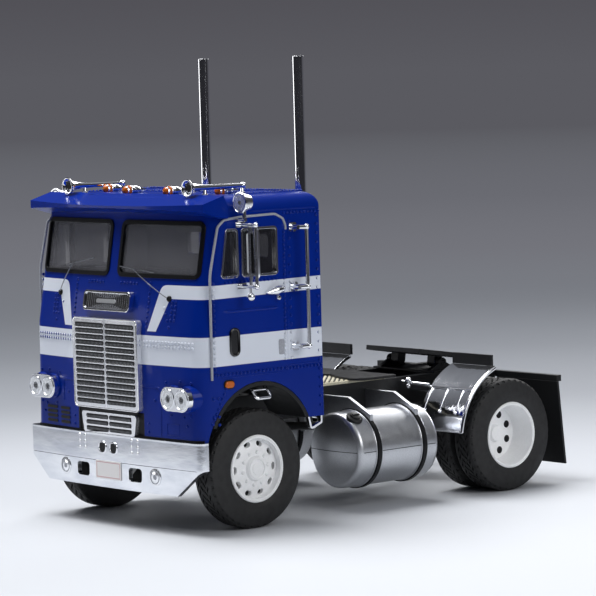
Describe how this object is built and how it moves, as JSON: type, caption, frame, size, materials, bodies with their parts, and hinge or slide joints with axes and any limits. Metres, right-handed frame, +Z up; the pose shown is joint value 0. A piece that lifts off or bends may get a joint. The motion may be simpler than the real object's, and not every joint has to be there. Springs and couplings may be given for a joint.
{
  "type": "1:43 scale model of a cab-over semi truck tractor unit",
  "caption": "Display model of a two-axle cab-over tractor unit: hollow cab, ladder frame, dual rear tyres, tilting fifth wheel and wheels that roll on steel pins.",
  "frame": {"origin": "on the floor, under the middle of the overall length and width", "axes": "+Z up, -Y the way the truck faces, +X its left side"},
  "size_m": [0.0678, 0.1051, 0.0954],
  "materials": {
    "blue_paint": "gloss blue enamel with white bands",
    "chrome_plate": "bright plated plastic",
    "tank_silver": "silver paint, satin",
    "wheel_white": "white moulded plastic",
    "tyre_rubber": "soft black vinyl",
    "chassis_black": "satin black moulded plastic",
    "clear_glazing": "tinted clear plastic",
    "gasket_black": "black tampo paint",
    "frame_grey": "grey metallic paint",
    "interior_grey": "dark grey moulded plastic",
    "deck_cream": "pale ribbed plastic",
    "axle_steel": "drawn steel wire"
  },
  "bodies": {
    "chassis": {"cab_shell": "blue_paint", "sun_visor": "blue_paint", "cab_interior": "interior_grey", "seats": "interior_grey", "steering_wheel": "interior_grey", "windscreen_gaskets": "gasket_black", "windscreen_glass": "clear_glazing", "side_window_frames": "frame_grey", "side_glass": "clear_glazing", "rear_glass": "clear_glazing", "grille_upper": "chrome_plate", "grille_lower": "chrome_plate", "nameplate_panel": "chrome_plate", "bumper": "chrome_plate", "fog_lamps": "chrome_plate", "headlamps": "chrome_plate", "air_horns": "chrome_plate", "marker_lamps": "chrome_plate", "spot_lamps": "chrome_plate", "side_mirrors": "chrome_plate", "grab_rails": "chrome_plate", "door_handles": "chrome_plate", "upper_steps": "chrome_plate", "lower_steps": "chrome_plate", "wheel_arch_liners": "chassis_black", "frame_rails": "chassis_black", "crossmembers": "chassis_black", "front_axle_beam": "chassis_black", "rear_axle_housing": "chassis_black", "leaf_springs": "chassis_black", "engine_block": "chassis_black", "driveshaft": "chassis_black", "stack_beam": "chassis_black", "exhaust_stacks": "chrome_plate", "fuel_tanks": "tank_silver", "tank_straps": "chassis_black", "tank_brackets": "tank_silver", "deck_plate": "deck_cream", "quarter_fenders": "chrome_plate", "fender_boards": "chassis_black", "mudflap_hanger": "chassis_black", "mudflaps": "chassis_black", "fifth_wheel_bracket": "chassis_black"},
    "front_wheels": {"front_axle_pin": "axle_steel", "front_rims": "wheel_white", "front_tyres": "tyre_rubber"},
    "rear_wheels": {"rear_axle_pin": "axle_steel", "rear_rims": "wheel_white", "rear_tyres": "tyre_rubber"},
    "fifth_wheel": {"fifth_wheel_plate": "chassis_black"}
  },
  "joints": [
    {"name": "front_wheels_roll", "type": "hinge", "parent": "chassis", "child": "front_wheels", "pos_m": [0, -0.0345, 0.0122], "axis": [1, 0, 0], "continuous": true},
    {"name": "rear_wheels_roll", "type": "hinge", "parent": "chassis", "child": "rear_wheels", "pos_m": [0, 0.0357, 0.0122], "axis": [1, 0, 0], "continuous": true},
    {"name": "fifth_wheel_tilt", "type": "hinge", "parent": "chassis", "child": "fifth_wheel", "pos_m": [0, 0.035, 0.0269], "axis": [1, 0, 0], "range_deg": [0, 18]}
  ]
}
